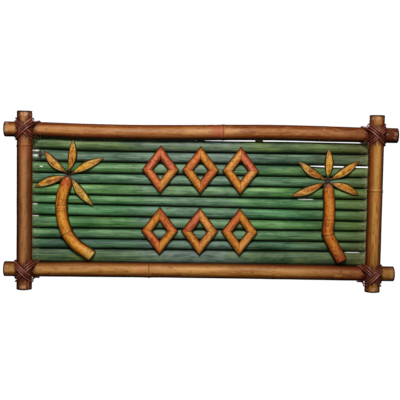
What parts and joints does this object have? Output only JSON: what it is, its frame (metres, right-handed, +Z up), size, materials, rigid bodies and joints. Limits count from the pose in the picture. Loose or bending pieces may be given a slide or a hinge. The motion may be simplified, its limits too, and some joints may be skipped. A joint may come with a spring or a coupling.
{
  "type": "bamboo wall sign",
  "caption": "Wall sign of green split bamboo slats in a lashed frame of round poles, with cane palm trees and rows of cane lozenges on its face.",
  "frame": {"origin": "where the back of the centre batten meets the wall, halfway between the rails", "axes": "+X along the rails, to the right as seen from the front; +Y into the wall; +Z up"},
  "size_m": [0.6072, 0.0527, 0.2748],
  "materials": {
    "culm": "scorched and lacquered bamboo, satin",
    "lashing": "dark stained split cane, satin",
    "slat": "green stained split bamboo, satin",
    "batten": "bare sawn wood, matt",
    "leaf": "scorched split bamboo with pale cut rims, satin",
    "cane": "lacquered half round cane, satin"
  },
  "bodies": {
    "root": {"left_pole": "culm", "right_pole": "culm", "top_rail": "culm", "bottom_rail": "culm", "lashing_top_left": "lashing", "lashing_top_right": "lashing", "lashing_bottom_left": "lashing", "lashing_bottom_right": "lashing", "slat_01": "slat", "slat_02": "slat", "slat_03": "slat", "slat_04": "slat", "slat_05": "slat", "slat_06": "slat", "slat_07": "slat", "slat_08": "slat", "slat_09": "slat", "slat_10": "slat", "slat_11": "slat", "batten_left": "batten", "batten_centre": "batten", "batten_right": "batten", "left_palm_trunk": "cane", "left_palm_leaf_1": "leaf", "left_palm_leaf_2": "leaf", "left_palm_leaf_3": "leaf", "left_palm_leaf_4": "leaf", "left_palm_leaf_5": "leaf", "right_palm_trunk": "cane", "right_palm_leaf_1": "leaf", "right_palm_leaf_2": "leaf", "right_palm_leaf_3": "leaf", "right_palm_leaf_4": "leaf", "right_palm_leaf_5": "leaf", "lozenge_1_stick_1": "cane", "lozenge_1_stick_2": "cane", "lozenge_1_stick_3": "cane", "lozenge_1_stick_4": "cane", "lozenge_2_stick_1": "cane", "lozenge_2_stick_2": "cane", "lozenge_2_stick_3": "cane", "lozenge_2_stick_4": "cane", "lozenge_3_stick_1": "cane", "lozenge_3_stick_2": "cane", "lozenge_3_stick_3": "cane", "lozenge_3_stick_4": "cane", "lozenge_4_stick_1": "cane", "lozenge_4_stick_2": "cane", "lozenge_4_stick_3": "cane", "lozenge_4_stick_4": "cane", "lozenge_5_stick_1": "cane", "lozenge_5_stick_2": "cane", "lozenge_5_stick_3": "cane", "lozenge_5_stick_4": "cane", "lozenge_6_stick_1": "cane", "lozenge_6_stick_2": "cane", "lozenge_6_stick_3": "cane", "lozenge_6_stick_4": "cane"}
  },
  "joints": []
}
